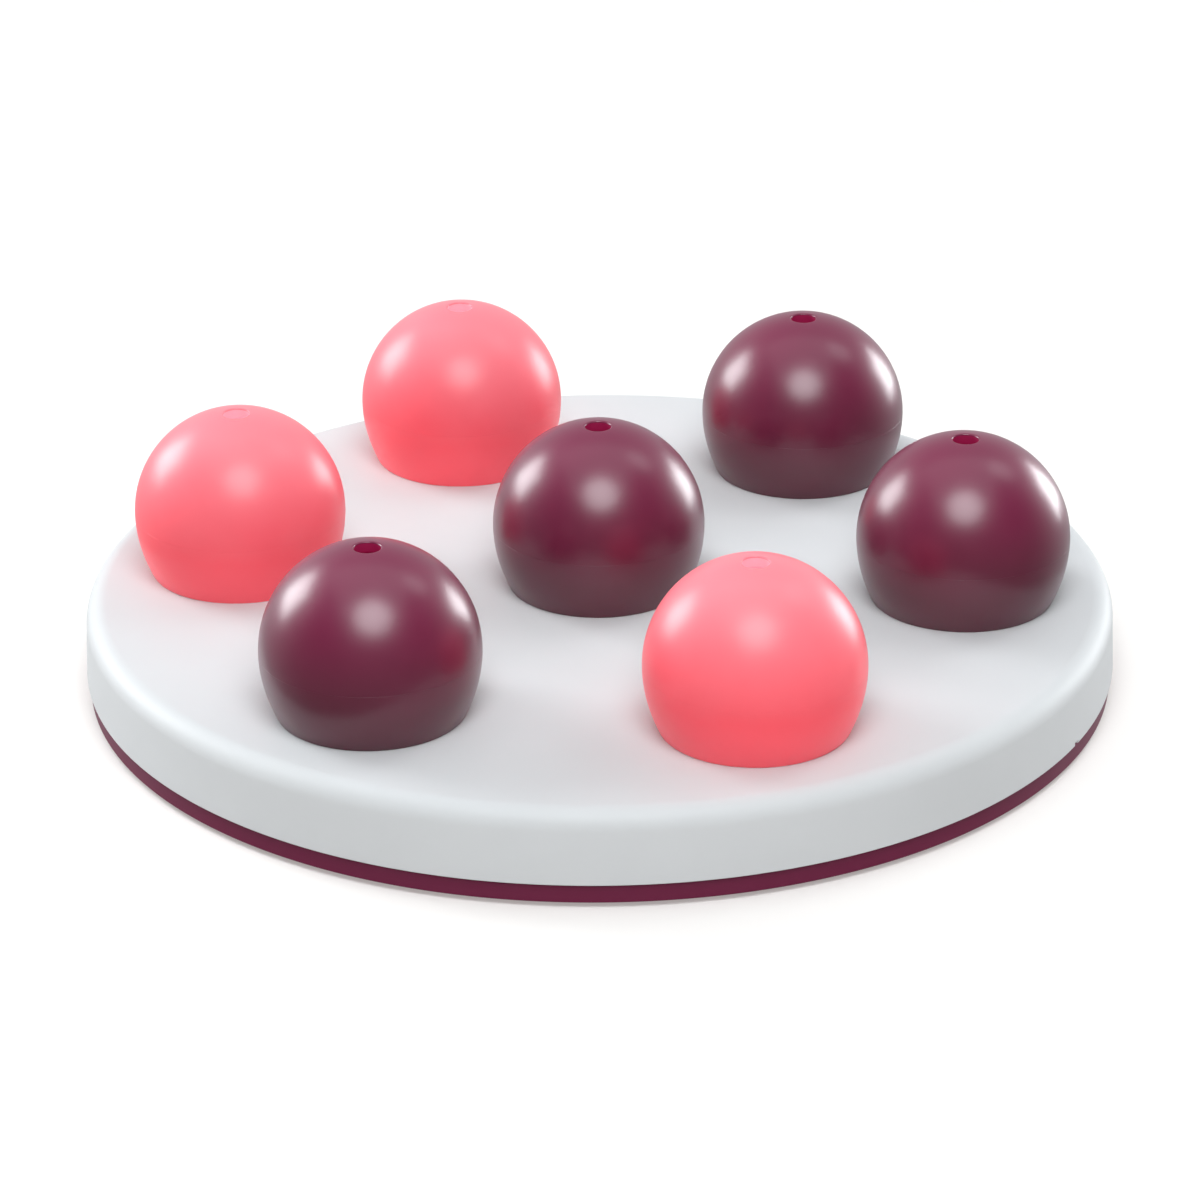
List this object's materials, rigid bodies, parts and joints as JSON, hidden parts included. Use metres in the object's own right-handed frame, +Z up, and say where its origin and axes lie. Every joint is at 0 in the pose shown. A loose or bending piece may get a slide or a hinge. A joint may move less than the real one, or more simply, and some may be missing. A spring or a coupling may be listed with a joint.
{
  "type": "cat puzzle feeder",
  "caption": "Round white board on a maroon base, with loose ball-shaped domes over treat pockets that a cat lifts off; each dome has a scent hole on top.",
  "frame": {"origin": "on the floor, under the middle of the board", "axes": "+Z up, along the board's axis; +X to the right and +Y away as the picture looks at it"},
  "size_m": [0.2, 0.2, 0.0513],
  "materials": {
    "white_plastic": "satin",
    "maroon_plastic": "satin",
    "pink_plastic": "satin",
    "rubber": "matt",
    "steel": "zinc plated"
  },
  "bodies": {
    "board": {"board_cover": "white_plastic", "base_tray": "maroon_plastic", "base_screw_1": "steel", "base_screw_2": "steel", "base_screw_3": "steel", "base_screw_4": "steel", "base_screw_5": "steel", "base_screw_6": "steel", "rubber_foot_1": "rubber", "rubber_foot_2": "rubber", "rubber_foot_3": "rubber", "rubber_foot_4": "rubber", "rubber_foot_5": "rubber", "rubber_foot_6": "rubber"},
    "centre_dome": {"centre_dome_cap": "maroon_plastic", "centre_dome_skirt": "maroon_plastic"},
    "front_right_dome": {"front_right_dome_cap": "pink_plastic", "front_right_dome_skirt": "pink_plastic"},
    "right_dome": {"right_dome_cap": "maroon_plastic", "right_dome_skirt": "maroon_plastic"},
    "rear_right_dome": {"rear_right_dome_cap": "maroon_plastic", "rear_right_dome_skirt": "maroon_plastic"},
    "rear_left_dome": {"rear_left_dome_cap": "pink_plastic", "rear_left_dome_skirt": "pink_plastic"},
    "left_dome": {"left_dome_cap": "pink_plastic", "left_dome_skirt": "pink_plastic"},
    "front_left_dome": {"front_left_dome_cap": "maroon_plastic", "front_left_dome_skirt": "maroon_plastic"}
  },
  "joints": [
    {"name": "centre_dome_lift", "type": "slide", "parent": "board", "child": "centre_dome", "axis": [0, 0, 1], "range_m": [0, 0.05]},
    {"name": "front_right_dome_lift", "type": "slide", "parent": "board", "child": "front_right_dome", "axis": [0, 0, 1], "range_m": [0, 0.05]},
    {"name": "right_dome_lift", "type": "slide", "parent": "board", "child": "right_dome", "axis": [0, 0, 1], "range_m": [0, 0.05]},
    {"name": "rear_right_dome_lift", "type": "slide", "parent": "board", "child": "rear_right_dome", "axis": [0, 0, 1], "range_m": [0, 0.05]},
    {"name": "rear_left_dome_lift", "type": "slide", "parent": "board", "child": "rear_left_dome", "axis": [0, 0, 1], "range_m": [0, 0.05]},
    {"name": "left_dome_lift", "type": "slide", "parent": "board", "child": "left_dome", "axis": [0, 0, 1], "range_m": [0, 0.05]},
    {"name": "front_left_dome_lift", "type": "slide", "parent": "board", "child": "front_left_dome", "axis": [0, 0, 1], "range_m": [0, 0.05]}
  ]
}
